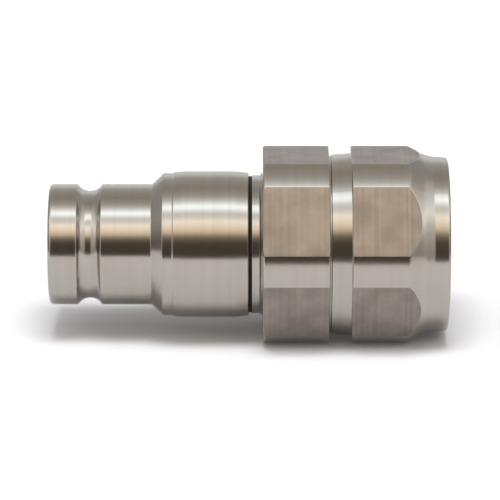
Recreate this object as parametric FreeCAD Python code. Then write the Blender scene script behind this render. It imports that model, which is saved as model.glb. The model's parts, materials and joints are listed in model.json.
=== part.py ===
import FreeCAD, Part
import math
import os

# Flat face coupling plug: a valved nose that a socket locks onto, screwed to a hexagon body with a hose port.
# Frame: X is the coupling axis, from the mating face at the origin towards the port. Z is up, across two flats.

V = FreeCAD.Vector
ORIGIN = V(0, 0, 0)
AXIS = V(1, 0, 0)

# Nose, outside
nose_diameter = 29.95
nose_length = 25.4
nose_rim_rounding = 1.0
lock_groove_start = 7.05
lock_groove_width = 6.0
lock_groove_depth = 1.675
lock_groove_wall_angle = 52.0
lock_groove_edge_rounding = 0.5

# Shoulder and barrel, outside
shoulder_length = 2.85
shoulder_height = 2.725
shoulder_foot_rounding = 0.4
shoulder_top_rounding = 0.4
band_length = 2.4
band_step = 0.22
barrel_lead_length = 2.4
barrel_lead_rise = 0.23
barrel_length = 12.73
barrel_tail_length = 3.5
barrel_tail_drop = 0.35
barrel_blend = 5.0
barrel_end_rounding = 0.35

# Nose, inside
nose_wall = 1.7
seat_height = 2.8
opening_land = 3.2
opening_edge = 0.25

# Screwed joint between nose body and rear body
guide_shoulder_height = 2.7
pilot_length = 5.2
thread_step = 1.1
thread_length = 10.15
thread_chamfer = 0.6
screw_clearance = 0.1
joint_gap = 0.75
joint_ring_recess = 0.25

# Rear body, outside
neck_length = 2.7
neck_step = 0.95
neck_cone = 0.85
front_hex_length = 16.4
front_hex_nose_rounding = 0.6
front_hex_tail_rounding = 0.3
mid_groove_length = 5.5
mid_groove_depth = 0.7
mid_groove_rise = 0.4
mid_groove_fillet = 0.2
relief_width = 0.55
relief_depth = 0.35
relief_rounding = 0.25
rear_hex_length = 14.0
rear_hex_nose_rounding = 0.25
cone_length = 3.85
cone_start_rounding = 2.0
cone_foot_fillet = 5.0
run_out_length = 2.2
run_out_rise = 0.58
run_out_fillet = 0.5
collar_length = 3.95
collar_taper = 0.29
collar_end_rounding = 0.7
collar_wall = 5.235
flat_over_collar = 1.14
corner_height = 1.6
flat_edge_chamfer = 0.35

# Hose port
port_thread_diameter = 33.25
port_depth = 20.5
port_mouth_chamfer = 1.3
port_floor_slope = 60.0

# Valve
head_clearance = 0.15
head_edge = 0.2
seal_section = 2.0
seal_clearance = 0.08
seal_stretch = 0.05
seal_floor_depth = 1.65
backup_width = 1.0
groove_play = 0.1
stop_clearance = 0.15
flange_thickness = 2.2
flange_back_rounding = 0.5
stem_diameter = 8.0
stem_end_rounding = 0.6
spring_wire = 1.7
spring_mean_diameter = 13.2
spring_turns = 6.5
spring_spigot_length = 3.0
spring_play = 0.25

# Valve guide, bush and clip
guide_thickness = 3.3
guide_arm_count = 3
guide_arm_width = 2.6
guide_rim_overlap = 0.8
hub_length = 11.0
hub_wall = 1.4
spring_seat_margin = 0.45
spring_seat_thickness = 2.0
bush_wall = 1.1
bush_flange_height = 0.9
bush_flange_thickness = 0.8
running_clearance = 0.1
press_clearance = 0.02
clip_thickness = 0.9
clip_height = 1.6
clip_groove_depth = 0.8
clip_play = 0.1
clip_gap = 0.5
clip_arc = 300.0
stem_tail = 2.4

# Seal between the two bodies
body_seal_section = 1.6
body_seal_setback = 1.0
body_seal_floor_depth = 1.6

# Radii worked out from the nose inwards and outwards
nose_radius = nose_diameter / 2
lock_floor_radius = nose_radius - lock_groove_depth
band_radius = nose_radius + shoulder_height
lead_radius = band_radius + band_step
barrel_radius = lead_radius + barrel_lead_rise
bore_radius = lock_floor_radius - nose_wall
opening_radius = bore_radius - seat_height
pilot_radius = bore_radius + guide_shoulder_height
thread_radius = pilot_radius + thread_step
flow_radius = bore_radius - guide_rim_overlap
neck_radius = barrel_radius - neck_step
port_radius = port_thread_diameter / 2
collar_radius = port_radius + collar_wall
flat_height = collar_radius + flat_over_collar
corner_radius = flat_height + corner_height
mid_groove_radius = flat_height - mid_groove_depth

# Stations along the axis, front to back
shoulder_end = nose_length + shoulder_length
band_end = shoulder_end + band_length
lead_start = band_end + band_step
barrel_start = lead_start + barrel_lead_length
tail_start = barrel_start + barrel_length
barrel_end = tail_start + barrel_tail_length
neck_start = barrel_end + joint_gap
front_hex_start = neck_start + neck_length
front_hex_end = front_hex_start + front_hex_length
rear_hex_start = front_hex_end + mid_groove_length
cone_start = rear_hex_start + rear_hex_length
run_out_start = cone_start + cone_length
collar_start = run_out_start + run_out_length
rear_face = collar_start + collar_length
port_floor = rear_face - port_depth
thread_end = barrel_end - thread_length
spigot_front = thread_end - pilot_length
guide_front = spigot_front - guide_thickness
hub_end = guide_front + hub_length

# Poppet stations and radii, set by the cone seat
seat_end = opening_land + seat_height
head_radius = opening_radius - head_clearance
seal_floor_radius = head_radius - seal_floor_depth
seal_radius = seal_floor_radius + seal_stretch + seal_section / 2
seat_reach = math.sqrt(2) * (seal_section / 2 + seal_clearance)
seal_station = opening_land + seal_radius - opening_radius + seat_reach
flange_front = seal_station + seal_section / 2 + groove_play
seal_groove_front = seal_station - seal_section / 2 - groove_play - backup_width
flange_back = flange_front + flange_thickness
seat_radius_at_flange = opening_radius + flange_front - opening_land
flange_radius = seat_radius_at_flange - math.sqrt(2) * stop_clearance
stem_radius = stem_diameter / 2
bush_inner_radius = stem_radius + running_clearance
bush_outer_radius = bush_inner_radius + bush_wall
hub_radius = bush_outer_radius + hub_wall
bush_end = hub_end + bush_flange_thickness
clip_groove_front = bush_end + clip_gap
clip_groove_end = clip_groove_front + clip_thickness + 2 * clip_play
clip_floor_radius = stem_radius - clip_groove_depth
stem_end = clip_groove_end + stem_tail
spring_radius = spring_mean_diameter / 2
spring_spigot_radius = spring_radius - spring_wire / 2 - spring_play


def section_face(corners):
    """Flat section in the XZ plane from corners (x, radius) or (x, radius, rounding): lines and tangent arcs."""
    points = [V(corner[0], 0, corner[1]) for corner in corners]
    arrivals, departures, arcs = [], [], []
    for index, corner in enumerate(points):
        rounding = corners[index][2] if len(corners[index]) > 2 else 0.0
        if rounding == 0.0:
            arrivals.append(corner)
            departures.append(corner)
            arcs.append(None)
            continue
        back = (points[index - 1] - corner).normalize()
        ahead = (points[(index + 1) % len(points)] - corner).normalize()
        half_angle = back.getAngle(ahead) / 2
        reach = rounding / math.tan(half_angle)
        crown = corner + (back + ahead).normalize() * (rounding / math.sin(half_angle) - rounding)
        arrivals.append(corner + back * reach)
        departures.append(corner + ahead * reach)
        arcs.append(Part.Arc(arrivals[-1], crown, departures[-1]).toShape())
    edges = []
    for index, arc in enumerate(arcs):
        if arc:
            edges.append(arc)
        edges.append(Part.LineSegment(departures[index], arrivals[(index + 1) % len(points)]).toShape())
    return Part.Face(Part.Wire(edges))


def turned(corners, sweep=360.0):
    """Solid turned about the coupling axis from a closed section."""
    return section_face(corners).revolve(ORIGIN, AXIS, sweep)


def ring(front, back, inner, outer, sweep=360.0):
    """Plain ring of rectangular section."""
    return turned([(front, inner), (front, outer), (back, outer), (back, inner)], sweep)


def o_ring(station, radius, section):
    """Round-section ring about the coupling axis."""
    return Part.makeTorus(radius, section / 2, V(station, 0, 0), AXIS)


def make_nose_body():
    """Nose, shoulder and barrel, bored for the valve and threaded at the back for the rear body's spigot."""
    half_width = lock_groove_width / 2
    wall_angle = math.radians(lock_groove_wall_angle)
    walls_meet = half_width * math.tan(wall_angle)
    groove_radius = (walls_meet - lock_groove_depth) / (1 / math.cos(wall_angle) - 1)
    return turned([
        (0, opening_radius + opening_edge),
        (0, nose_radius, nose_rim_rounding),
        (lock_groove_start, nose_radius, lock_groove_edge_rounding),
        (lock_groove_start + half_width, nose_radius - walls_meet, groove_radius),
        (lock_groove_start + lock_groove_width, nose_radius, lock_groove_edge_rounding),
        (nose_length, nose_radius, shoulder_foot_rounding),
        (shoulder_end, band_radius, shoulder_top_rounding),
        (band_end, band_radius),
        (lead_start, lead_radius),
        (barrel_start, barrel_radius, barrel_blend),
        (tail_start, barrel_radius, barrel_blend),
        (barrel_end, barrel_radius - barrel_tail_drop, barrel_end_rounding),
        (barrel_end, thread_radius + thread_chamfer),
        (barrel_end - thread_chamfer, thread_radius),
        (thread_end, thread_radius),
        (thread_end, pilot_radius),
        (guide_front, pilot_radius),
        (guide_front, bore_radius),
        (seat_end, bore_radius),
        (opening_land, opening_radius),
        (opening_edge, opening_radius),
    ])


def flat_cutter():
    """What is milled off one side to leave a flat on both hexagons, with the front edge broken."""
    run_out = 1.0
    front = front_hex_start - run_out
    rear = rear_face + run_out
    top = corner_radius + run_out
    outline = [
        (front, flat_height - flat_edge_chamfer - run_out),
        (front_hex_start + flat_edge_chamfer, flat_height),
        (rear, flat_height),
        (rear, top),
        (front, top),
    ]
    face = section_face(outline)
    face.translate(V(0, -corner_radius, 0))
    return face.extrude(V(0, 2 * corner_radius, 0))


def make_rear_body():
    """Spigot, neck, two hexagons with a groove between, cone and collar, bored through to the threaded port."""
    spigot_radius = pilot_radius - screw_clearance
    spigot_thread_radius = thread_radius - screw_clearance
    seal_front = spigot_front + body_seal_setback
    seal_end = seal_front + body_seal_section + backup_width + 2 * groove_play
    seal_floor = spigot_radius - body_seal_floor_depth
    floor_run = (port_radius - flow_radius) / math.tan(math.radians(port_floor_slope))
    blank = turned([
        (spigot_front, flow_radius),
        (spigot_front, spigot_radius),
        (seal_front, spigot_radius),
        (seal_front, seal_floor),
        (seal_end, seal_floor),
        (seal_end, spigot_radius),
        (thread_end + screw_clearance, spigot_radius),
        (thread_end + screw_clearance + thread_chamfer, spigot_thread_radius),
        (neck_start, spigot_thread_radius),
        (neck_start, neck_radius),
        (front_hex_start - neck_cone, neck_radius),
        (front_hex_start, neck_radius + neck_cone),
        (front_hex_start, corner_radius, front_hex_nose_rounding),
        (front_hex_end, corner_radius, front_hex_tail_rounding),
        (front_hex_end, mid_groove_radius - relief_depth, relief_rounding),
        (front_hex_end + relief_width, mid_groove_radius - relief_depth, relief_rounding),
        (front_hex_end + relief_width, mid_groove_radius),
        (rear_hex_start, mid_groove_radius + mid_groove_rise, mid_groove_fillet),
        (rear_hex_start, corner_radius, rear_hex_nose_rounding),
        (cone_start, corner_radius, cone_start_rounding),
        (run_out_start, collar_radius + run_out_rise, cone_foot_fillet),
        (collar_start, collar_radius, run_out_fillet),
        (rear_face, collar_radius - collar_taper, collar_end_rounding),
        (rear_face, port_radius + port_mouth_chamfer),
        (rear_face - port_mouth_chamfer, port_radius),
        (port_floor, port_radius),
        (port_floor - floor_run, flow_radius),
    ])
    cutters = []
    for side in range(6):
        cutter = flat_cutter()
        cutter.rotate(ORIGIN, AXIS, 60.0 * side)
        cutters.append(cutter)
    return blank.cut(cutters)


def make_joint_ring():
    """Black ring in the joint between barrel and neck, a little below both surfaces."""
    inner = thread_radius + thread_chamfer
    return ring(barrel_end, neck_start, inner, neck_radius - joint_ring_recess)


def make_poppet():
    """Valve head, seal groove, stop flange, spring spigot and stem, turned in one piece."""
    return turned([
        (0, 0),
        (0, head_radius, head_edge),
        (seal_groove_front, head_radius),
        (seal_groove_front, seal_floor_radius),
        (flange_front, seal_floor_radius),
        (flange_front, flange_radius),
        (flange_back, flange_radius, flange_back_rounding),
        (flange_back, spring_spigot_radius),
        (flange_back + spring_spigot_length, spring_spigot_radius, flange_back_rounding),
        (flange_back + spring_spigot_length, stem_radius),
        (clip_groove_front, stem_radius),
        (clip_groove_front, clip_floor_radius),
        (clip_groove_end, clip_floor_radius),
        (clip_groove_end, stem_radius),
        (stem_end, stem_radius, stem_end_rounding),
        (stem_end, 0),
    ])


def make_poppet_seal():
    """O-ring that closes on the cone seat."""
    return o_ring(seal_station, seal_radius, seal_section)


def make_poppet_backup_ring():
    """Plain ring in front of the poppet's O-ring, inside the opening."""
    front = seal_groove_front + groove_play / 2
    return ring(front, front + backup_width, seal_floor_radius + seal_stretch, head_radius)


def make_valve_spring():
    """Round-wire compression spring from the poppet's flange to the guide, its ends ground flat."""
    length = guide_front - flange_back
    pitch = length / spring_turns
    overrun = spring_wire
    helix = Part.makeHelix(pitch, length + 2 * overrun, spring_radius)
    section = Part.Wire(Part.makeCircle(spring_wire / 2, V(spring_radius, 0, 0), V(0, 1, 0)))
    coil = Part.Wire(helix.Edges).makePipeShell([section], True, True)
    coil.translate(V(0, 0, -overrun))
    coil.rotate(ORIGIN, V(0, 1, 0), 90)
    coil.translate(V(flange_back, 0, 0))
    span = Part.makeCylinder(spring_radius + spring_wire, length, V(flange_back, 0, 0), AXIS)
    return coil.common(span)


def make_valve_guide():
    """Rim seated against the nose body's inner shoulder, arms, and a hub with the spring's seat."""
    bush_hole = bush_outer_radius + press_clearance
    spring_seat_radius = spring_radius + spring_wire / 2 + spring_seat_margin
    hub = turned([
        (guide_front, bush_hole),
        (guide_front, spring_seat_radius),
        (guide_front + spring_seat_thickness, spring_seat_radius),
        (guide_front + spring_seat_thickness, hub_radius),
        (hub_end, hub_radius),
        (hub_end, bush_hole),
    ])
    rim_outer = pilot_radius - screw_clearance
    rim = ring(guide_front, spigot_front, flow_radius, rim_outer)
    arm_start = (bush_hole + hub_radius) / 2
    arm_end = (flow_radius + rim_outer) / 2
    arms = []
    for number in range(guide_arm_count):
        corner = V(guide_front, -guide_arm_width / 2, arm_start)
        arm = Part.makeBox(guide_thickness, guide_arm_width, arm_end - arm_start, corner)
        arm.rotate(ORIGIN, AXIS, 360.0 * number / guide_arm_count)
        arms.append(arm)
    return hub.fuse([rim] + arms).removeSplitter()


def make_stem_bush():
    """Flanged bush in the guide's hub, which the stem runs in."""
    flange_edge = bush_outer_radius + bush_flange_height
    return turned([
        (guide_front, bush_inner_radius),
        (guide_front, bush_outer_radius),
        (hub_end, bush_outer_radius),
        (hub_end, flange_edge),
        (bush_end, flange_edge),
        (bush_end, bush_inner_radius),
    ])


def make_stem_clip():
    """Open ring in the stem's rear groove, with its gap at the bottom."""
    front = clip_groove_front + clip_play
    inner = clip_floor_radius + clip_play
    clip = ring(front, front + clip_thickness, inner, inner + clip_height, clip_arc)
    clip.rotate(ORIGIN, AXIS, -clip_arc / 2)
    return clip


def body_seal_start():
    """Front of the O-ring in the spigot's groove."""
    return spigot_front + body_seal_setback + groove_play


def body_seal_inner():
    """Inner radius of the rings in the spigot's groove."""
    return pilot_radius - screw_clearance - body_seal_floor_depth + seal_stretch


def make_body_o_ring():
    """O-ring that seals the spigot in the nose body's pilot bore."""
    station = body_seal_start() + body_seal_section / 2
    return o_ring(station, body_seal_inner() + body_seal_section / 2, body_seal_section)


def make_body_backup_ring():
    """Plain ring behind the body's O-ring."""
    front = body_seal_start() + body_seal_section
    return ring(front, front + backup_width, body_seal_inner(), pilot_radius - screw_clearance)


pieces = {
    "nose_body": make_nose_body,
    "rear_body": make_rear_body,
    "joint_ring": make_joint_ring,
    "poppet": make_poppet,
    "poppet_seal": make_poppet_seal,
    "poppet_backup_ring": make_poppet_backup_ring,
    "valve_spring": make_valve_spring,
    "valve_guide": make_valve_guide,
    "stem_bush": make_stem_bush,
    "stem_clip": make_stem_clip,
    "body_o_ring": make_body_o_ring,
    "body_backup_ring": make_body_backup_ring,
}

os.makedirs("parts", exist_ok=True)
for name, make in pieces.items():
    shape = make()
    shape.exportStep(f"parts/{name}.step")
    print(f"{name}: {len(shape.Solids)} solid, valid {shape.isValid()}, {shape.Volume:.1f} mm3")
print(f"length {rear_face:.2f} mm, across flats {2 * flat_height:.2f} mm, over corners {2 * corner_radius:.2f} mm")
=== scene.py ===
# %% [markdown]
# # A flat face coupling plug
# The plug is the male half of a hydraulic quick coupling. A socket slides over its nose, locking
# balls drop into the groove, and the socket's own valve pushes the flush poppet inwards. The packed
# CAD model is the frame: it gives every place and size, and it keeps the inner pieces that only
# need a finish.

# %% Load the frame
import json
import math
import bpy
import bmesh
import numpy as np
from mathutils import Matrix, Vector


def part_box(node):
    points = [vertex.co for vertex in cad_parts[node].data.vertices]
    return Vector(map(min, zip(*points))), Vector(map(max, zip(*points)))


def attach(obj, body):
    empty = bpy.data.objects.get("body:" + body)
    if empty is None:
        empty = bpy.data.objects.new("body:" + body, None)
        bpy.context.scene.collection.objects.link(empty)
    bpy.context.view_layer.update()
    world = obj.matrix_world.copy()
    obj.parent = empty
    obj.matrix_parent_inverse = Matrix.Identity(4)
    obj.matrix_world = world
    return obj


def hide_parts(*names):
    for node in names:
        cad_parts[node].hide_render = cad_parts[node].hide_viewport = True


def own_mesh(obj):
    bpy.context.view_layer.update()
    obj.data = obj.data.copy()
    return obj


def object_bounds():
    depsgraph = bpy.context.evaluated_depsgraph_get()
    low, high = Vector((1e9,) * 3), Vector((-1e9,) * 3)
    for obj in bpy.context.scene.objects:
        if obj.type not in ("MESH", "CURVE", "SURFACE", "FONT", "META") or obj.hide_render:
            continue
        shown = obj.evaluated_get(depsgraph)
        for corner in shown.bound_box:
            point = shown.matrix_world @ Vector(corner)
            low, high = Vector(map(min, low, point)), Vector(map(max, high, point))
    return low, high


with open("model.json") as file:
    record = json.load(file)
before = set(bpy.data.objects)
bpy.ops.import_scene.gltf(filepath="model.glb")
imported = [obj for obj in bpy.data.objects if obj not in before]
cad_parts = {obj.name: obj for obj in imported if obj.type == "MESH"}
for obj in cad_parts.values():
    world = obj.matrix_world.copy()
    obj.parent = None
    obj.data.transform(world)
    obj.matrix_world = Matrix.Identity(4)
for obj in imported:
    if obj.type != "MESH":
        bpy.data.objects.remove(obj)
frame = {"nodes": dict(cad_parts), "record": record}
cad_low, cad_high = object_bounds()
print("CAD box in mm:", [round(1000 * side, 2) for side in cad_high - cad_low])

# %% [markdown]
# ## Sizes
# The frame's boxes and mounts give the stations along the axis and the main radii. What they cannot
# give, such as the rounding of a turned edge, is written once, in the cell of the piece that needs
# it. The script works in metres, and MM turns millimetres into them.

# %% Sizes from the frame
MM = 0.001
mounts = {mount["name"]: mount for mount in frame["record"]["mounts"]}
nose_radius = mounts["nose"]["dims"]["r_mm"] * MM
port_radius = mounts["port"]["dims"]["r_mm"] * MM
flat_height = -mounts["rest_flat"]["pos_m"][2]
floor_height = cad_low.z
barrel_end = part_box("nose_body")[1].x
neck_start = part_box("joint_ring")[1].x
spigot_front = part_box("rear_body")[0].x
rear_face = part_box("rear_body")[1].x
guide_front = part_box("valve_guide")[0].x
spring_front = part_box("valve_spring")[0].x
print(f"nose radius {nose_radius / MM:.3f} mm, port radius {port_radius / MM:.3f} mm")
print(f"half the width across flats {flat_height / MM:.2f} mm")
print(f"rear face at {rear_face / MM:.2f} mm")

# %% [markdown]
# ## Turned outlines
# Every round piece was cut on a lathe, so its shape is one outline, a list of corners given as
# distance along the axis, radius and rounding, carried round the axis. A lathe tool leaves a small
# radius in each corner. A bevel modifier could add them, but working the arcs out first keeps the
# grid regular and the reflections smooth. Each straight run also gets two points close to its ends,
# so that smooth shading bends only there.

# %% Arcs in the corners
ARC_STEPS = 18
SMALL = 1e-9


def unit(vectors):
    """Rows of vectors, each divided by its own length."""
    return vectors / np.maximum(np.linalg.norm(vectors, axis=1, keepdims=True), SMALL)


def corner_arcs(points, rounding, arc_steps):
    """Points (corners, steps, 2) of an arc in each corner, tangent to both of its sides.

    The arc's centre lies on the line that halves the corner's angle, at the rounding divided by the
    sine of half that angle."""
    to_last = unit(np.roll(points, 1, axis=0) - points)
    to_next = unit(np.roll(points, -1, axis=0) - points)
    cosine = np.clip((to_last * to_next).sum(axis=1, keepdims=True), -1, 1)
    half = np.maximum(np.arccos(cosine) / 2, SMALL)
    reach = rounding / np.tan(half)
    centre = points + unit(to_last + to_next) * rounding / np.sin(half)
    spokes = [points + side * reach - centre for side in (to_last, to_next)]
    first, last = (np.arctan2(spoke[:, 1:], spoke[:, :1]) for spoke in spokes)
    turn = (last - first + math.pi) % (2 * math.pi) - math.pi
    angle = first + turn * np.linspace(0, 1, arc_steps + 1)
    return centre[:, None] + rounding[:, None] * np.stack([np.cos(angle), np.sin(angle)], axis=-1)


print(f"an arc takes {ARC_STEPS} steps")

# %% Rounded outlines
RUN_POINTS = 4
SUPPORT = 0.15 * MM
SUPPORT_LIMIT = 0.2
SAME_POINT = 1e-7


def rounded_path(corners, closed, arc_steps=ARC_STEPS):
    """Points (x, radius) of an outline through corners (x, radius, rounding).

    Each corner gives an arc, or one point where it has no rounding. Each straight run gives four
    points: two close to its ends and two at its thirds."""
    table = np.array([tuple(corner) + (0.0,) * (3 - len(corner)) for corner in corners])
    arcs = corner_arcs(table[:, :2], table[:, 2:], arc_steps)
    end = arcs[:, -1:]
    run = np.roll(arcs[:, :1], -1, axis=0) - end
    length = np.linalg.norm(run, axis=2, keepdims=True)
    inset = np.minimum(SUPPORT / np.maximum(length, SMALL), SUPPORT_LIMIT)
    third = np.full_like(inset, 1 / 3)
    runs = end + run * np.concatenate([inset, third, 2 * third, 1 - inset], axis=1)
    kept = np.ones((len(table), arc_steps + 1 + RUN_POINTS), bool)
    kept[table[:, 2] == 0, 1:arc_steps + 1] = False
    kept[length[:, 0, 0] < SAME_POINT, arc_steps + 1:] = False
    if not closed:
        kept[-1, arc_steps + 1:] = False
    return np.concatenate([arcs, runs], axis=1)[kept]


def around(grid, angles):
    """Points (x, r sin a, r cos a) for a grid of (x, radius) and angles a from straight up.

    A grid of one column serves every angle."""
    x, radius = grid[..., 0], grid[..., 1]
    return np.stack([x + 0 * angles, radius * np.sin(angles), radius * np.cos(angles)], axis=-1)


print(f"a straight run takes {RUN_POINTS} points")

# %% [markdown]
# ## From a grid to a piece
# Blender's Screw modifier can carry an outline round an axis, but only the same one all the way
# round, and the hexagons need more. So a grid of points is worked out first and becomes quads
# between neighbours. The columns close round the axis, and the rows close where the outline does.
# Points that fall together are merged. Edges that turn by more than the sharp angle stay sharp, and
# everything else is shaded smooth.

# %% Meshes from grids
SHARP_ANGLE = math.radians(30)


def smooth_piece(name, points, quads):
    """Object in the scene, shaded smooth, from a grid of points and quads of their numbers."""
    mesh = bpy.data.meshes.new(name)
    mesh.from_pydata(points.reshape(-1, 3).tolist(), [], quads.reshape(-1, 4).tolist())
    mesh.polygons.foreach_set("use_smooth", np.ones(len(mesh.polygons), bool))
    piece = bpy.data.objects.new(name, mesh)
    bpy.context.scene.collection.objects.link(piece)
    return piece


def grid_piece(name, points, closed_rows=True, finish=None):
    """Object from a grid (rows, columns, 3) whose last column joins the first.

    Quad (i, j) has the corners (i, j), (i+1, j), (i+1, j+1) and (i, j+1). finish, one number for
    each quad, picks the material slot."""
    rows, columns = points.shape[:2]
    index = np.arange(rows * columns).reshape(rows, columns)
    ahead, beside = np.roll(index, -1, axis=0), np.roll(index, -1, axis=1)
    quads = np.stack([index, ahead, np.roll(ahead, -1, axis=1), beside], axis=-1)
    if not closed_rows:
        quads = quads[:-1]
    piece = smooth_piece(name, points, quads)
    mesh = piece.data
    if finish is not None:
        mesh.polygons.foreach_set("material_index", finish.ravel().astype(np.int32))
    work = bmesh.new()
    work.from_mesh(mesh)
    bmesh.ops.remove_doubles(work, verts=work.verts, dist=SAME_POINT)
    work.to_mesh(mesh)
    work.free()
    mesh.set_sharp_from_angle(angle=SHARP_ANGLE)
    print(f"{name}: {len(mesh.polygons)} faces")
    return piece


def settle(piece, body, slot, *nodes):
    """Let a piece ride on a body and stand for CAD nodes, which are hidden. The slot is not used.
    """
    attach(piece, body)
    if nodes:
        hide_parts(*nodes)


print(f"edges stay sharp above {math.degrees(SHARP_ANGLE):.0f} degrees")

# %% [markdown]
# ## Nose body
# The nose slides into the socket. Behind its rounded rim is the round groove for the locking balls,
# then a plain land, a conical shoulder, a narrow band and the barrel, whose ends fall off by a few
# tenths. Inside are the opening for the poppet, the cone seat, the bore and the screwed joint.
# Booleans could cut the grooves and bores out of a bar, but one closed outline holds them all and
# leaves a clean grid.

# %% Nose body sizes
groove_start = 7.05 * MM
groove_half = 3.0 * MM
groove_wall = math.radians(52)
shoulder_start = 25.4 * MM
band_start = shoulder_start + 2.85 * MM
band_end = band_start + 2.4 * MM
lead_start = band_end + 0.22 * MM
lead_end = lead_start + 2.4 * MM
tail_start = barrel_end - 3.5 * MM
lock_floor_radius = nose_radius - 1.675 * MM
band_radius = nose_radius + 2.725 * MM
lead_radius = band_radius + 0.22 * MM
barrel_radius = lead_radius + 0.23 * MM
tail_radius = barrel_radius - 0.35 * MM

# Inside, from the flush opening to the screwed joint
opening_land = 3.2 * MM
bore_radius = lock_floor_radius - 1.7 * MM
opening_radius = bore_radius - 2.8 * MM
seat_end = opening_land + bore_radius - opening_radius
pilot_radius = bore_radius + 2.7 * MM
thread_radius = pilot_radius + 1.1 * MM
thread_end = barrel_end - 10.15 * MM
joint_chamfer = 0.6 * MM
edge_break = 0.25 * MM

# Roundings
rim_rounding = 1.0 * MM
groove_rounding = 0.5 * MM
shoulder_rounding = 0.4 * MM
band_rounding = 0.28 * MM
barrel_rounding = 5.0 * MM
tail_rounding = 0.35 * MM

# The groove's two walls would meet far below its floor, and the ball's arc rounds them off at the
# right depth
walls_meet = groove_half * math.tan(groove_wall)
groove_depth = nose_radius - lock_floor_radius
ball_radius = (walls_meet - groove_depth) / (1 / math.cos(groove_wall) - 1)
print(f"barrel radius {barrel_radius / MM:.3f} mm, ball radius {ball_radius / MM:.3f} mm")

# %% Nose body
nose_outline = rounded_path([
    (0, opening_radius + edge_break),
    (0, nose_radius, rim_rounding),
    (groove_start, nose_radius, groove_rounding),
    (groove_start + groove_half, nose_radius - walls_meet, ball_radius),
    (groove_start + 2 * groove_half, nose_radius, groove_rounding),
    (shoulder_start, nose_radius, shoulder_rounding),
    (band_start, band_radius, shoulder_rounding),
    (band_end, band_radius, band_rounding),
    (lead_start, lead_radius, band_rounding),
    (lead_end, barrel_radius, barrel_rounding),
    (tail_start, barrel_radius, barrel_rounding),
    (barrel_end, tail_radius, tail_rounding),
    (barrel_end, thread_radius + joint_chamfer),
    (barrel_end - joint_chamfer, thread_radius),
    (thread_end, thread_radius),
    (thread_end, pilot_radius),
    (guide_front, pilot_radius),
    (guide_front, bore_radius),
    (seat_end, bore_radius),
    (opening_land, opening_radius),
    (edge_break, opening_radius),
], closed=True)
ROUND_COLUMNS = 216
round_angles = np.linspace(0, 2 * math.pi, ROUND_COLUMNS, endpoint=False)
nose_body = grid_piece("nose_shell", around(nose_outline[:, None], round_angles))
settle(nose_body, "body", "turned_steel", "nose_body")

# %% [markdown]
# ## Joint ring
# A black ring fills the narrow joint between the barrel and the neck, a little below both. A plain
# cylinder would do, but an outline with rounded edges keeps hard highlights off the rubber.

# %% Joint ring
neck_radius = barrel_radius - 0.95 * MM
ring_inner = thread_radius + joint_chamfer
ring_outer = neck_radius - 0.25 * MM
ring_rounding = 0.1 * MM
RING_ARC_STEPS = 6
ring_outline = rounded_path([
    (barrel_end, ring_inner),
    (barrel_end, ring_outer, ring_rounding),
    (neck_start, ring_outer, ring_rounding),
    (neck_start, ring_inner),
], closed=True, arc_steps=RING_ARC_STEPS)
joint_ring = grid_piece("joint_band", around(ring_outline[:, None], round_angles))
settle(joint_ring, "body", "black_rubber", "joint_ring")

# %% [markdown]
# ## Hexagon columns
# The rear body was turned to the corner diameter first, and then six flats were milled, so its
# cross-section is a circle cut by a hexagon: straight flats joined by short arcs. A six-sided prism
# could be cut with a cylinder, but columns placed for this section need no cutting. One sixth is a
# flat, an edge, an arc and an edge. Each edge is broken by a small curve, because a real edge is
# never perfectly sharp.

# %% Angles and heights of the hexagon's columns
corner_radius = flat_height + 1.6 * MM
edge_angle = math.acos(flat_height / corner_radius)
edge_reach = 0.15 * MM
SIDES = 6
FLAT_COLUMNS = 15
CORNER_COLUMNS = 8
CURVE_SHARES = np.array([0.25, 0.5, 0.75])
CURVE_QUADS = 2  # of the four quads across a broken edge, those that count as flat


def eased_corner(before, corner, after):
    """Points on the curve (1-t)^2 A + 2 t (1-t) C + t^2 B, which leaves A towards the corner C."""
    share = CURVE_SHARES.reshape(-1, *[1] * np.ndim(before))
    return (1 - share) ** 2 * before + 2 * share * (1 - share) * corner + share ** 2 * after


def hexagon_columns():
    """Angle and radius of every column, and a mark on the columns of the flats.

    On a flat the radius is the flat's height over the cosine of the angle from the flat's middle,
    and between flats it is the corner radius."""
    sixth = 2 * math.pi / SIDES
    reach = edge_reach / corner_radius
    before, after = edge_angle - reach, edge_angle + reach
    on_flat = np.linspace(-before, before, FLAT_COLUMNS)
    on_corner = np.linspace(after, sixth - after, CORNER_COLUMNS)
    flat_end = np.array([flat_height * math.tan(before), flat_height])
    edge_point = corner_radius * np.array([math.sin(edge_angle), math.cos(edge_angle)])
    corner_end = corner_radius * np.array([math.sin(after), math.cos(after)])
    broken = eased_corner(flat_end, edge_point, corner_end)
    broken_angle = np.arctan2(broken[:, 0], broken[:, 1])
    broken_radius = np.hypot(broken[:, 0], broken[:, 1])
    angle = np.concatenate([on_flat, broken_angle, on_corner, sixth - broken_angle[::-1]])
    radius = np.concatenate([
        flat_height / np.cos(on_flat),
        broken_radius,
        np.full(CORNER_COLUMNS, corner_radius),
        broken_radius[::-1],
    ])
    milled = np.zeros(len(angle))
    milled[:FLAT_COLUMNS - 1 + CURVE_QUADS] = 1
    milled[-CURVE_QUADS:] = 1
    turns = np.arange(SIDES)[:, None] * sixth
    return (turns + angle).ravel(), np.tile(radius, SIDES), np.tile(milled, SIDES)


hex_angles, hex_heights, column_is_flat = hexagon_columns()
print(f"hexagon: {len(hex_angles)} columns, edge at {math.degrees(edge_angle):.1f} degrees")

# %% [markdown]
# ## Where the turned shape meets the flats
# A flat ends in a curve where it meets a rounding or a cone, and a boolean would find that curve at
# the price of stray slivers. Here a column follows the turned outline up from the front until it
# reaches its own height, runs level along the flat, and follows the turned outline down again at
# the back. The meeting point moves with the column's height, and that draws the curve.

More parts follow.
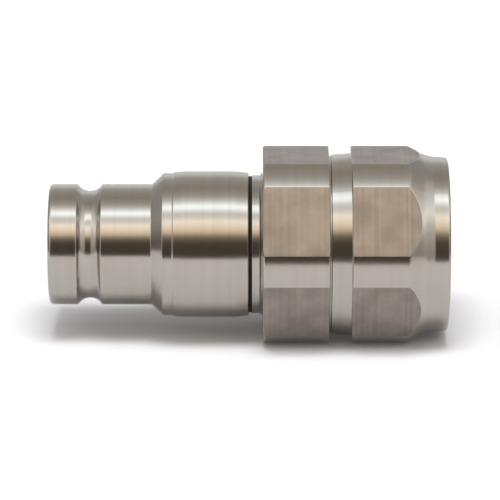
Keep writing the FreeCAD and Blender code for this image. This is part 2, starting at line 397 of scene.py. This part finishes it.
# %% Rows of one hexagon
RISE_ROWS = 28
REACH_LIMIT = 0.4
LEVEL_SHARES = np.array([0, 0.012, 0.2, 0.4, 0.6, 0.8, 0.988, 1])[:, None, None]


def climb(path, heights):
    """Rows up a rising path, the edge where they reach each column's height, and the edge's reach.

    The rows stop a short reach before the edge, so that it can be broken."""
    step = np.linalg.norm(np.diff(path, axis=0), axis=1)
    station = np.concatenate([[0], np.cumsum(step)])
    top = np.interp(heights, path[:, 1], station)
    reach = np.minimum(edge_reach, REACH_LIMIT * top)
    distance = np.concatenate([np.linspace(0, 1, RISE_ROWS)[:, None] * (top - reach), top[None]])
    rows = np.stack([np.interp(distance, station, path[:, side]) for side in (0, 1)], axis=-1)
    return rows[:-1], rows[-1], reach[:, None] * np.array([1.0, 0.0])


def hexagon_rows(front, rear):
    """Grid (rows, columns, 2) of a hexagon between two rising paths, with a mark on level rows."""
    front_rows, front_edge, front_reach = climb(front, hex_heights)
    rear_rows, rear_edge, rear_reach = climb(rear, hex_heights)
    level_start = front_edge + front_reach
    level_end = rear_edge - rear_reach
    grid = np.concatenate([
        front_rows,
        eased_corner(front_rows[-1], front_edge, level_start),
        level_start + (level_end - level_start) * LEVEL_SHARES,
        eased_corner(level_end, rear_edge, rear_rows[-1]),
        rear_rows[::-1],
    ])
    is_level = np.zeros(len(grid))
    first = RISE_ROWS + len(CURVE_SHARES)
    last = first + len(LEVEL_SHARES) - 1
    is_level[first - CURVE_QUADS:last + CURVE_QUADS] = 1
    return grid, is_level


print(f"a hexagon takes {2 * (RISE_ROWS + len(CURVE_SHARES)) + len(LEVEL_SHARES)} rows")

# %% [markdown]
# ## Rear body
# One bar makes the spigot, the neck, two hexagons with a turned groove between them, the cone and
# the collar, with the flow bore and the hose port inside. It could be put together from several
# solids, but one grid has no seams. Each size is measured from another one, as on a drawing, so
# that a change moves everything that depends on it.

# %% Rear body sizes
neck_cone = 0.85 * MM
front_hex_start = neck_start + 2.7 * MM
front_hex_end = front_hex_start + 16.4 * MM
rear_hex_start = front_hex_end + 5.5 * MM
cone_start = rear_hex_start + 14.0 * MM
run_out_start = cone_start + 3.85 * MM
collar_start = run_out_start + 2.2 * MM
groove_front_radius = flat_height - 0.7 * MM
groove_rear_radius = groove_front_radius + 0.4 * MM
relief_width = 0.55 * MM
relief_depth = 0.35 * MM
collar_radius = flat_height - 1.14 * MM
run_out_radius = collar_radius + 0.58 * MM
collar_end_radius = collar_radius - 0.29 * MM

# Inside and on the spigot
flow_radius = bore_radius - 0.8 * MM
port_floor = rear_face - 20.5 * MM
port_chamfer = 1.3 * MM
drill_half_angle = math.radians(60)
floor_run = (port_radius - flow_radius) / math.tan(drill_half_angle)
joint_clearance = 0.1 * MM
spigot_radius = pilot_radius - joint_clearance
spigot_thread_radius = thread_radius - joint_clearance
spigot_thread_start = thread_end + joint_clearance
seal_front = spigot_front + 1.0 * MM
seal_end = seal_front + 2.8 * MM
seal_floor = spigot_radius - 1.6 * MM
print(f"hexagons from {front_hex_start / MM:.2f} to {cone_start / MM:.2f} mm")

# %% [markdown]
# ## Paths up to the flats
# Four turned shapes end at the hexagons: the front face, the two walls of the groove, and the cone
# with its long run-out to the collar. Each is drawn as a path that only climbs, from a foot below
# the flats to the corner diameter, so that a column can stop at its own height on the way.

# %% Paths up to the flats
face_foot = (front_hex_start, flat_height - 0.8 * MM)
groove_front_foot = (front_hex_end, groove_front_radius + 0.4 * MM)
groove_rear_foot = (rear_hex_start, groove_rear_radius + 0.22 * MM)
collar_share = 0.3
collar_foot = (
    collar_start + collar_share * (rear_face - collar_start),
    collar_radius + collar_share * (collar_end_radius - collar_radius),
)
face_rounding = 0.6 * MM
groove_front_rounding = 0.3 * MM
groove_rear_rounding = 0.25 * MM
collar_blend = 0.5 * MM
run_out_blend = 5.0 * MM
cone_rounding = 2.0 * MM
cone_lead = 0.7 * MM
RISE_ARC_STEPS = 60


def rising_path(*corners):
    """Path of (x, radius) corners that only climbs, from its foot to the corner radius."""
    return rounded_path(corners, closed=False, arc_steps=RISE_ARC_STEPS)


def face_rise(foot, rounding, side):
    """Up a face and over its rounded corner. side is 1 at a front face and -1 at a rear one."""
    corner = (foot[0], corner_radius, rounding)
    return rising_path(foot, corner, (foot[0] + side * rounding, corner_radius))


nose_side = face_rise(face_foot, face_rounding, 1)
groove_front_side = face_rise(groove_front_foot, groove_front_rounding, -1)
groove_rear_side = face_rise(groove_rear_foot, groove_rear_rounding, 1)
cone_side = rising_path(
    collar_foot,
    (collar_start, collar_radius, collar_blend),
    (run_out_start, run_out_radius, run_out_blend),
    (cone_start, corner_radius, cone_rounding),
    (cone_start - cone_lead, corner_radius),
)
print(f"cone path: {len(cone_side)} points")

# %% [markdown]
# ## Turned parts of the rear body
# The spigot and neck, the groove and the port are only turned, so they repeat one outline in every
# column, and the two hexagons fit in between. The two finishes could be on separate pieces, but a
# material slot for each face is enough: faces on the flats get the milled finish, and all others
# the turned one.

# %% Turned paths
neck_rounding = 0.12 * MM
neck_blend = 0.1 * MM
relief_rounding = 0.25 * MM
relief_edge = 0.06 * MM
groove_corner = 0.2 * MM
collar_rounding = 0.7 * MM
port_rounding = 0.1 * MM
spigot_path = rounded_path([
    (spigot_front, flow_radius),
    (spigot_front, spigot_radius),
    (seal_front, spigot_radius),
    (seal_front, seal_floor),
    (seal_end, seal_floor),
    (seal_end, spigot_radius),
    (spigot_thread_start, spigot_radius),
    (spigot_thread_start + joint_chamfer, spigot_thread_radius),
    (neck_start, spigot_thread_radius),
    (neck_start, neck_radius, neck_rounding),
    (front_hex_start - neck_cone, neck_radius, neck_blend),
    (front_hex_start, neck_radius + neck_cone, neck_blend),
    face_foot,
], closed=False)
groove_path = rounded_path([
    groove_front_foot,
    (front_hex_end, groove_front_radius - relief_depth, relief_rounding),
    (front_hex_end + relief_width, groove_front_radius - relief_depth, relief_rounding),
    (front_hex_end + relief_width, groove_front_radius, relief_edge),
    (rear_hex_start, groove_rear_radius, groove_corner),
    groove_rear_foot,
], closed=False)
port_path = rounded_path([
    collar_foot,
    (rear_face, collar_end_radius, collar_rounding),
    (rear_face, port_radius + port_chamfer, port_rounding),
    (rear_face - port_chamfer, port_radius, port_rounding),
    (port_floor, port_radius),
    (port_floor - floor_run, flow_radius),
], closed=False)
print(f"turned paths: {len(spigot_path)}, {len(groove_path)} and {len(port_path)} points")

# %% Rear body surface
front_hex, front_level = hexagon_rows(nose_side, groove_front_side)
rear_hex, rear_level = hexagon_rows(groove_rear_side, cone_side)
turned_paths = (spigot_path, groove_path, port_path)
spigot, groove, port = (path[:, None] + 0 * front_hex[:1] for path in turned_paths)
no_level = [np.zeros(len(path)) for path in turned_paths]
rear_grid = np.concatenate([spigot, front_hex, groove, rear_hex, port])
row_is_level = np.concatenate([no_level[0], front_level, no_level[1], rear_level, no_level[2]])
milled_faces = row_is_level[:, None] * column_is_flat
rear_body = grid_piece("rear_shell", around(rear_grid, hex_angles), finish=milled_faces)
settle(rear_body, "body", "turned_steel", "rear_body")

# %% [markdown]
# ## Port thread
# The hose adapter screws into the port, which has a pipe thread with rounded crests and roots. The
# CAD bore stands at the thread's outer diameter, so the ridge is added here. Rings would be
# simpler, but a thread climbs and is seen to: a cosine bump is carried along a helix, fading out at
# both ends as a tapped thread does. Its back lies just inside the wall, so that no gap shows.

# %% Port thread
thread_pitch = 2.309 * MM
thread_depth = 1.479 * MM
thread_front = port_floor + 2.2 * MM
thread_back = rear_face - port_chamfer - 0.2 * MM
thread_sunk = 0.03 * MM
FADE_TURNS = 0.6
STEPS_PER_TURN = 96
RIDGE_POINTS = 13


def smooth_step(share):
    """The step 3 t^2 - 2 t^3, with t held between 0 and 1."""
    share = np.clip(share, 0, 1)
    return share * share * (3 - 2 * share)


def helix_ridge():
    """Strip along a helix: at u across it, its depth from the wall is cos^2(pi u / pitch)."""
    turns = (thread_back - thread_front) / thread_pitch - 1
    turn = np.linspace(0, turns, int(turns * STEPS_PER_TURN))[:, None]
    fade = smooth_step(np.minimum(turn, turns - turn) / FADE_TURNS)
    across = np.linspace(-0.5, 0.5, RIDGE_POINTS)
    height = thread_depth * np.cos(math.pi * across) ** 2 * fade - thread_sunk
    x = thread_front + (turn + 0.5 + across) * thread_pitch
    ridge = np.stack([x, port_radius - height], axis=-1)
    back_x = x[:, [-1, 0]]
    back = np.stack([back_x, port_radius + 2 * thread_sunk + 0 * back_x], axis=-1)
    return around(np.concatenate([ridge, back], axis=1), turn * 2 * math.pi)


def close_ends(piece):
    """Fill the open ends of a tube with one flat face each, turned outwards."""
    work = bmesh.new()
    work.from_mesh(piece.data)
    bmesh.ops.holes_fill(work, edges=work.edges, sides=0)
    bmesh.ops.recalc_face_normals(work, faces=work.faces)
    work.to_mesh(piece.data)
    work.free()


port_thread = grid_piece("port_thread", helix_ridge(), closed_rows=False)
close_ends(port_thread)
settle(port_thread, "body", "turned_steel")

# %% [markdown]
# ## Valve spring
# The spring keeps the poppet shut. Its end turns lie close together and are ground flat. The Screw
# modifier makes a helix with an even pitch, which would stand on a point, so the wire is worked out
# here: the pitch eases off at both ends, and the wire is cut level with the two seats. On the real
# plug it is pressed together towards its seat on the guide when the poppet is pushed in; here it is
# made at its full length.

# %% Valve spring
spring_radius = 6.6 * MM
wire_radius = 0.85 * MM
SPRING_TURNS = 6.5
CLOSED_TURNS = 1.0
SLOW_PITCH = 0.35
WIRE_STEPS = 72
WIRE_POINTS = 20
spring_length = guide_front - spring_front


def coil_wire():
    """Tube round a helix that advances slowly over the closed turns and evenly between them."""
    turn = np.linspace(0, SPRING_TURNS, int(SPRING_TURNS * WIRE_STEPS))[:, None]
    opening = smooth_step(np.minimum(turn, SPRING_TURNS - turn) / CLOSED_TURNS)
    pitch = SLOW_PITCH + (1 - SLOW_PITCH) * opening
    advance = np.cumsum(pitch, axis=0) - pitch[0]
    middle = spring_front + spring_length * advance / advance[-1]
    round_wire = np.linspace(0, 2 * math.pi, WIRE_POINTS, endpoint=False)
    x = np.clip(middle + wire_radius * np.cos(round_wire), spring_front, guide_front)
    radius = spring_radius + wire_radius * np.sin(round_wire) + 0 * turn
    return around(np.stack([x, radius], axis=-1), turn * 2 * math.pi)


valve_spring = grid_piece("coil_spring", coil_wire(), closed_rows=False)
close_ends(valve_spring)
settle(valve_spring, "body", "spring_steel", "valve_spring")
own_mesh(valve_spring)

# %% [markdown]
# ## Shader maths
# A finish is a sum of simple patterns. Node by node, each plus and times would take three lines, so
# one small class wraps a socket and lets Python's own operators add the Math nodes.

# %% A socket that can be added and multiplied
X, Y, Z = 0, 1, 2

# Sockets of a Mix node that is set to colours
MIX_FACTOR, MIX_FIRST, MIX_SECOND, MIX_RESULT = 0, 6, 7, 2
LINE_ROUGHNESS = 0.6


def set_stops(elements, stops):
    """Give a colour ramp its stops, each a position from 0 to 1 and a colour."""
    for element, (position, tone) in zip(elements, (stops[0], stops[-1])):
        element.position, element.color = position, tone
    for position, tone in stops[1:-1]:
        elements.new(position).color = tone


class Wire:
    """A node's output, used like a number: an operator adds a Math node and gives its output."""

    def __init__(self, socket):
        self.socket = socket

    def node(self, kind, settings, inputs, output=0):
        """Add a node: its settings, then values or links for its sockets. Gives one output."""
        tree = self.socket.id_data
        made = tree.nodes.new(kind)
        for name, value in settings.items():
            if name == "stops":
                set_stops(made.color_ramp.elements, value)
            else:
                setattr(made, name, value)
        for name, value in inputs.items():
            if isinstance(value, Wire):
                tree.links.new(value.socket, made.inputs[name])
            else:
                made.inputs[name].default_value = value
        return Wire(made.outputs[output])

    def math(self, operation, *values):
        """Add a Math node for values or links."""
        return self.node("ShaderNodeMath", {"operation": operation}, dict(enumerate(values)))

    def __add__(self, other):
        return self.math("ADD", self, other)

    def __sub__(self, other):
        return self.math("SUBTRACT", self, other)

    def __mul__(self, other):
        return self.math("MULTIPLY", self, other)

    __radd__ = __add__
    __rmul__ = __mul__

    def part(self, axis):
        """One coordinate of a vector."""
        return self.node("ShaderNodeSeparateXYZ", {}, {0: self}, output=axis)

    def ease(self, low, high):
        """0 below low, 1 above high, and a smooth step between."""
        inputs = {"Value": self, "From Min": low, "From Max": high}
        return self.node("ShaderNodeMapRange", {"interpolation_type": "SMOOTHSTEP"}, inputs)

    def tint(self, low, high):
        """Colour between two others, this value being the share of the second."""
        inputs = {MIX_FACTOR: self, MIX_FIRST: low, MIX_SECOND: high}
        return self.node("ShaderNodeMix", {"data_type": "RGBA"}, inputs, output=MIX_RESULT)

    def ramp(self, stops):
        """Colour from a ramp of stops."""
        return self.node("ShaderNodeValToRGB", {"stops": stops}, {"Fac": self})

    def lines(self, per_metre, detail):
        """Uneven parallel lines: noise along one coordinate, between 0 and 1."""
        inputs = {"W": self * per_metre, "Scale": 1.0, "Detail": detail}
        inputs["Roughness"] = LINE_ROUGHNESS
        return self.node("ShaderNodeTexNoise", {"noise_dimensions": "1D"}, inputs)

    def clouds(self, per_metre, detail=3.0):
        """Soft patches: noise in space, between 0 and 1."""
        inputs = {"Vector": self, "Scale": per_metre, "Detail": detail}
        return self.node("ShaderNodeTexNoise", {}, inputs)


print("a wire can:", [name for name in vars(Wire) if not name.startswith("_")])

# %% [markdown]
# ## Materials
# Every finish is one Principled shader. Its constants are written on its own sockets, and only what
# varies over the surface is linked to it. An image could hold the marks of the tools, but patterns
# worked out from the object's own coordinates need no unwrapping, stay sharp close up, and stay on
# the piece when it moves.

# %% New finishes


def colour(red, green, blue):
    """Opaque colour from linear parts."""
    return (red, green, blue, 1.0)


def grey(light):
    """Opaque grey."""
    return colour(light, light, light)


def new_finish(name, **constants):
    """Material with constants on its Principled shader, the shader, and the object coordinates."""
    material = bpy.data.materials.new(name)
    material.use_nodes = True
    tree = material.node_tree
    shader = tree.nodes["Principled BSDF"]
    for socket, value in constants.items():
        shader.inputs[socket.replace("_", " ")].default_value = value
    place = Wire(tree.nodes.new("ShaderNodeTexCoord").outputs["Object"])
    return material, shader, place


def feed(shader, **wires):
    """Link patterns to the shader's sockets."""
    for socket, wire in wires.items():
        wire.socket.id_data.links.new(wire.socket, shader.inputs[socket.replace("_", " ")])


def bump(height, distance):
    """Normal of a surface raised by a height pattern."""
    inputs = {"Height": height, "Distance": distance, "Strength": 1.0}
    return height.node("ShaderNodeBump", {}, inputs)


print("materials before the finishes:", len(bpy.data.materials))

# %% [markdown]
# ## Turned steel
# A lathe leaves fine rings round the axis. On a cylinder they follow the distance along the axis
# and on a face the distance from it, so the pattern runs on the sum of both, with the radius
# counted a little more so that it never cancels on a chamfer. An anisotropic shader could stretch
# the highlights too, but real rings are uneven. They only tilt the surface a little, which spreads
# highlights along the axis and keeps them sharp round it, as on the real part.

# %% Turned steel
RADIUS_WEIGHT = 1.37
RINGS_PER_METRE = 5200
BANDS_PER_METRE = 520
PATCHES_PER_METRE = 160
LINE_SHARE = 0.6
BAND_HEIGHT = 0.2
TONE_LIMITS = (0.3, 0.75)
ring_depth = 0.001 * MM


def turned_finish(name, light, dark, smooth, rough):
    """Steel with fine rings, bands and patches, between two colours and between two roughnesses."""
    material, shader, place = new_finish(name, Metallic=1.0)
    y, z = place.part(Y), place.part(Z)
    square = y * y + z * z
    station = place.part(X) + RADIUS_WEIGHT * square.math("SQRT", square)
    rings = station.lines(RINGS_PER_METRE, detail=3.0)
    bands = station.lines(BANDS_PER_METRE, detail=2.0)
    patches = (1 - LINE_SHARE) * place.clouds(PATCHES_PER_METRE)
    feed(
        shader,
        Base_Color=(LINE_SHARE * bands + patches).ease(*TONE_LIMITS).tint(light, dark),
        Roughness=smooth + (rough - smooth) * (LINE_SHARE * rings + patches),
        Normal=bump(rings + BAND_HEIGHT * bands, ring_depth),
    )
    print(f"{name}: roughness from {smooth} to {rough}")
    return material


turned_steel = turned_finish(
    "turned_steel", colour(0.402, 0.379, 0.337), colour(0.376, 0.354, 0.313),
    smooth=0.13, rough=0.2)

# %% [markdown]
# ## Milled flats
# The flats were cut with the side of a milling cutter, which leaves lines across the bar, a duller
# grain than the lathe does and a slightly mottled tone. The turned finish could serve here as well,
# but its rings would bend over the flats, so the lines follow the distance along the axis alone.

# %% Milled flats
CUTS_PER_METRE = 4200
CUT_BANDS_PER_METRE = 900
MOTTLE_PER_METRE = 180
CUT_BAND_SHARE = 0.35
CUT_BAND_HEIGHT = 0.5
CUT_TONE_LIMITS = (0.3, 0.7)
cut_depth = 0.004 * MM


def milled_finish(name, light, dark, smooth, line_part, patch_part):
    """Steel with lines across the axis and mottled patches between two colours.

    The roughness is the smooth value, plus one part that follows the lines and one the patches."""
    material, shader, place = new_finish(name, Metallic=1.0)
    along_axis = place.part(X)
    lines = along_axis.lines(CUTS_PER_METRE, detail=4.0)
    bands = along_axis.lines(CUT_BANDS_PER_METRE, detail=3.0)
    patches = place.clouds(MOTTLE_PER_METRE)
    tone = CUT_BAND_SHARE * bands + (1 - CUT_BAND_SHARE) * patches
    feed(
        shader,
        Base_Color=tone.ease(*CUT_TONE_LIMITS).tint(light, dark),
        Roughness=smooth + line_part * lines + patch_part * patches,
        Normal=bump(lines + CUT_BAND_HEIGHT * bands, cut_depth),
    )
    print(f"{name}: roughness from {smooth} to {smooth + line_part + patch_part:.2f}")
    return material


milled_steel = milled_finish(
    "milled_steel", colour(0.276, 0.243, 0.21), colour(0.203, 0.179, 0.154),
    smooth=0.24, line_part=0.1, patch_part=0.08)
for piece in (nose_body, port_thread, rear_body):
    piece.data.materials.append(turned_steel)
rear_body.data.materials.append(milled_steel)

# %% [markdown]
# ## Rubber, plastic and wire
# The joint ring and the O-rings are moulded black rubber, the plain rings white bearing plastic,
# the bush a brown filled plastic and the spring and clip dark drawn wire. They could be four node
# trees, but they differ only in colours, gloss and grain, so one function makes them all. The
# record says which slot each inner piece of the frame has.

# %% Rubber, plastic and wire
GRAINS_PER_PATCH = 9
PATCH_LIMITS = (0.35, 0.65)


def grained_finish(name, light, dark, smooth, rough, grain, depth, metallic=0.0, gloss=0.5):
    """Finish with soft patches of two colours and a fine grain in its gloss and its surface."""
    material, shader, place = new_finish(name, Metallic=metallic, Specular_IOR_Level=gloss)
    fine = place.clouds(grain, detail=4.0)
    patches = place.clouds(grain / GRAINS_PER_PATCH)
    feed(
        shader,
        Base_Color=patches.ease(*PATCH_LIMITS).tint(light, dark),
        Roughness=smooth + (rough - smooth) * fine,
        Normal=bump(fine, depth),
    )
    return material


finishes = {
    "turned_steel": turned_steel,
    "valve_steel": turned_finish(
        "valve_steel", colour(0.45, 0.43, 0.395), colour(0.4, 0.38, 0.345),
        smooth=0.18, rough=0.28),
    "spring_steel": grained_finish(
        "spring_steel", colour(0.34, 0.33, 0.32), colour(0.25, 0.24, 0.23),
        smooth=0.28, rough=0.42, grain=2200, depth=0.004 * MM, metallic=1.0),
    "black_rubber": grained_finish(
        "black_rubber", colour(0.009, 0.009, 0.009), colour(0.015, 0.014, 0.013),
        smooth=0.5, rough=0.7, grain=2600, depth=0.01 * MM, gloss=0.15),
    "white_plastic": grained_finish(
        "white_plastic", colour(0.8, 0.78, 0.72), colour(0.72, 0.7, 0.64),
        smooth=0.4, rough=0.55, grain=1800, depth=0.005 * MM),
    "bush_plastic": grained_finish(
        "bush_plastic", colour(0.17, 0.12, 0.085), colour(0.11, 0.08, 0.06),
        smooth=0.4, rough=0.6, grain=1500, depth=0.006 * MM),
}
joint_ring.data.materials.append(finishes["black_rubber"])
valve_spring.data.materials.append(finishes["spring_steel"])
slot_of = {part["node"]: part["material_slot"] for part in frame["record"]["subparts"]}
for node, piece in frame["nodes"].items():
    piece.data.materials.clear()
    piece.data.materials.append(finishes[slot_of[node]])
print("finishes:", sorted(finishes))

# %% [markdown]
# ## Floor
# The plug lies on a white sheet that ends a little way from it at both sides and in front. A plain
# white background would do for the eye, but the lower half of the plug has to mirror a real sheet.
# It is lit like anything else, so it keeps the shadow. A part of its white, and more of it far
# behind the plug, is given to what the camera, a reflection or glass sees of it.

# %% Floor
sheet_front = -0.225
sheet_back = 0.8
sheet_left = -0.25
sheet_right = 0.35
glow_start = 0.0
glow_end = 0.25
PAPER_ROUGHNESS = 0.9


def plain_grid(name, points):
    """Object from an open grid of points (rows, columns, 3), used for the studio."""
    rows, columns = points.shape[:2]
    index = np.arange(rows * columns).reshape(rows, columns)
    quads = np.stack([index[:-1, :-1], index[:-1, 1:], index[1:, 1:], index[1:, :-1]], axis=-1)
    piece = smooth_piece(name, points, quads)
    return piece


def seen_directly(tree):
    """1 for what the camera, a reflection or glass sees, 0 for light that falls on a surface."""
    path = tree.nodes.new("ShaderNodeLightPath").outputs
    rays = ("Is Camera Ray", "Is Glossy Ray", "Is Transmission Ray")
    camera, glossy, through = (Wire(path[ray]) for ray in rays)
    return camera.math("MAXIMUM", camera, glossy.math("MAXIMUM", glossy, through))


def sheet_finish(paper, near_light, far_light):
    """Matt paper that adds a grey of its own to what is seen of it, near the plug and far off."""
    material, shader, place = new_finish(
        "white_sheet", Base_Color=paper, Roughness=PAPER_ROUGHNESS, Specular_IOR_Level=0.0,
        Emission_Strength=1.0)
    glow = place.part(Y).ease(glow_start, glow_end).tint(grey(near_light), grey(far_light))
    feed(shader, Emission_Color=seen_directly(material.node_tree).tint(grey(0), glow))
    return material


sheet_x, sheet_y = np.meshgrid([sheet_left, sheet_right], [sheet_front, sheet_back])
floor = plain_grid("floor", np.stack([sheet_x, sheet_y, 0 * sheet_x + floor_height], axis=-1))
floor.data.materials.append(
    sheet_finish(colour(0.56, 0.562, 0.578), near_light=0.05, far_light=0.4))
print(f"sheet {sheet_right - sheet_left:.2f} m by {sheet_back - sheet_front:.3f} m")

# %% [markdown]
# ## Studio cloth
# Polished metal shows its surroundings more than its own colour, so the studio is most of the
# picture. Single softboxes leave black gaps between them, so a cloth arch stands over the plug like
# a tunnel, a little more than one half of a cylinder about the plug's axis. Its middle is striped:
# dark at the front, where the camera stands, warm above that, brightest overhead and grey behind.
# Towards its two ends the stripes turn into softer ones, and these are what the cones and the walls
# of the grooves show.

# %% Studio cloth tones
GREEN_LOSS = 0.22
BLUE_LOSS = 0.45
HALF_TURN = 180

# Degrees above the front horizon, the brightness there as a share of the arch's light, the warmth
MIDDLE_TONES = [
    (0, 0.033, 0.9),
    (18, 0.045, 0.9),
    (26, 0.11, 0.95),
    (31, 0.3, 0.95),
    (36, 0.54, 0.75),
    (42, 0.65, 0.66),
    (52, 0.8, 0.32),
    (59, 0.52, 0.08),
    (64, 0.43, 0.0),
    (69, 0.58, -0.18),
    (76, 0.95, -0.32),
    (80, 0.83, -0.32),
    (86, 0.48, -0.22),
    (97, 0.26, 0.25),
    (115, 0.185, 0.43),
    (145, 0.23, 0.1),
    (160, 0.36, 0.0),
    (176, 0.29, 0.0),
]
END_TONES = [
    (0, 0.2, 0.3),
    (12, 0.24, 0.3),
    (30, 0.33, 0.3),
    (45, 0.45, 0.2),
    (58, 0.63, 0.0),
    (68, 0.6, 0.0),
    (82, 0.47, 0.0),
    (95, 0.39, 0.1),
    (106, 0.29, 0.1),
    (120, 0.2, 0.2),
    (150, 0.18, 0.1),
    (180, 0.19, 0.0),
]


def warm_stops(tones):
    """Ramp stops of a half turn: greys, with green and blue taken back by the warmth."""
    return [
        (degrees / HALF_TURN,
         colour(light, light * (1 - GREEN_LOSS * warmth), light * (1 - BLUE_LOSS * warmth)))
        for degrees, light, warmth in tones
    ]


print(f"cloth: {len(MIDDLE_TONES)} tones in the middle, {len(END_TONES)} at the ends")

# %% Studio cloth
arch_radius = 0.85
arch_reach = 1.7
arch_middle = 0.03
arch_low = math.radians(-15)
arch_light = 2.83
stripes_end = 0.3
soft_start = 0.44
ARCH_ROWS = 60
ARCH_COLUMNS = 9


def glow_finish(name, strength):
    """Cloth that mirrors and scatters nothing and only glows, in the colour that is fed to it."""
    return new_finish(
        name, Base_Color=grey(0), Specular_IOR_Level=0.0, Emission_Strength=strength)


def arch_finish():
    """Cloth coloured by the angle arctan2(z, -y) about the plug's axis, softer near the ends."""
    material, shader, place = glow_finish("studio_cloth", arch_light)
    turn = place.math("ARCTAN2", place.part(Z), place.part(Y) * -1) * (1 / math.pi)
    away = place.part(X) - arch_middle
    softness = away.math("ABSOLUTE", away).ease(stripes_end, soft_start)
    middle, ends = (turn.ramp(warm_stops(tones)) for tones in (MIDDLE_TONES, END_TONES))
    feed(shader, Emission_Color=softness.tint(middle, ends))
    return material


def round_sheet(name, x, reach, angle):
    """Sheet from a distance along the axis, a distance from it and an angle above the front."""
    height = floor_height + reach * np.sin(angle)
    sheet = plain_grid(name, np.stack([x, -reach * np.cos(angle), height], axis=-1))
    sheet.visible_camera = False
    return sheet


arch_angle, arch_x = np.meshgrid(
    np.linspace(arch_low, math.pi, ARCH_ROWS),
    np.linspace(-arch_reach, arch_reach, ARCH_COLUMNS), indexing="ij")
arch = round_sheet("studio_arch", arch_x, arch_radius + 0 * arch_x, arch_angle)
arch.data.materials.append(arch_finish())
print(f"arch {2 * arch_reach:.1f} m long, {arch_radius} m from the plug")

# %% [markdown]
# ## Studio ends
# A round card closes each end of the arch. It only glows, and its glow is painted light: darker at
# the height of the plug and lighter towards its top, as a grey card lit from above would be. Steep
# faces such as the shoulder look straight at them, and an open end would show there as a white
# disc. The cards reach below the floor, because the sheet ends before them.

# %% Studio ends
card_top = 0.6
CARD_ROWS = 60


def card_finish():
    """Glowing card whose painted light is dark at the height of the plug and lighter above."""
    material, shader, place = glow_finish("card_glow", 1.0)
    low, high = colour(0.22, 0.2, 0.19), colour(0.6, 0.55, 0.52)
    # Painted light: the glow is dark at the plug's height and lighter above, as on a card lit from
    # above
    feed(shader, Emission_Color=place.part(Z).ease(0, card_top).tint(low, high))
    return material


card_glow = card_finish()
card_angle, card_radius = np.meshgrid(
    np.linspace(-math.pi, math.pi, CARD_ROWS), [0.0, arch_radius], indexing="ij")
for side, x in (("left", -arch_reach), ("right", arch_reach)):
    card = round_sheet(f"{side}_card", x + 0 * card_angle, card_radius, card_angle)
    card.data.materials.append(card_glow)
print(f"cards at {-arch_reach} m and {arch_reach} m")

# %% [markdown]
# ## Lamp and surroundings
# One lamp, above the plug and a little in front of it, lights the paper, which makes the floor
# white and leaves a soft shadow under the plug and behind it. The cloth alone would light it too,
# but with hardly any shadow. Around the studio everything that is seen is white, as in the
# photograph, and it adds a weak even light.

# %% Lamp and surroundings
lamp_x = 0.05
lamp_distance = 0.8
lamp_tilt = math.radians(20)
lamp_size = 0.35
lamp_power = 6.0
AMBIENT = 0.4

lamp = bpy.data.lights.new("key_lamp", "AREA")
lamp.shape = "DISK"
lamp.size = lamp_size
lamp.energy = lamp_power
lamp_y = -lamp_distance * math.sin(lamp_tilt)
lamp_z = floor_height + lamp_distance * math.cos(lamp_tilt)
key_lamp = bpy.data.objects.new("key_lamp", lamp)
key_lamp.location = (lamp_x, lamp_y, lamp_z)
key_lamp.rotation_euler = (lamp_tilt, 0, 0)
key_lamp.visible_camera = False
key_lamp.visible_glossy = False
bpy.context.scene.collection.objects.link(key_lamp)

world = bpy.data.worlds.new("studio")
bpy.context.scene.world = world
world.use_nodes = True
background = world.node_tree.nodes["Background"]
sky = seen_directly(world.node_tree).tint(grey(AMBIENT), grey(1))
world.node_tree.links.new(sky.socket, background.inputs["Color"])
bpy.context.scene.view_settings.view_transform = "Standard"
print(f"lamp of {lamp_power} W, {lamp_z - floor_height:.2f} m above the floor")

# %% [markdown]
# ## Camera
# The photograph was taken with a long lens, a little above the axis and square to it, with the nose
# on the left. The camera could be placed by eye, but the photograph's scale and the places of the
# nose and the axis in it fix it, so it is worked out from them.

# %% Camera
camera_elevation = math.radians(16.5)
camera_distance = 0.95
pixel_size = 0.249 * MM
frame_pixels = 500
nose_column = 50
axis_row = 244.1
SENSOR_WIDTH = 36
aim_x = (frame_pixels / 2 - nose_column) * pixel_size
drop = (frame_pixels / 2 - axis_row) * pixel_size
up = Vector((0, math.sin(camera_elevation), math.cos(camera_elevation)))
backwards = Vector((0, -math.cos(camera_elevation), math.sin(camera_elevation)))
camera_data = bpy.data.cameras.new("camera")
camera_data.sensor_width = SENSOR_WIDTH
camera_data.lens = SENSOR_WIDTH * camera_distance / (frame_pixels * pixel_size)
camera = bpy.data.objects.new("camera", camera_data)
bpy.context.scene.collection.objects.link(camera)
camera.location = Vector((aim_x, 0, 0)) - up * drop + backwards * camera_distance
camera.rotation_euler = backwards.to_track_quat("Z", "Y").to_euler()
bpy.context.scene.camera = camera
print(f"lens {camera_data.lens:.0f} mm at {camera_distance} m")

# %% [markdown]
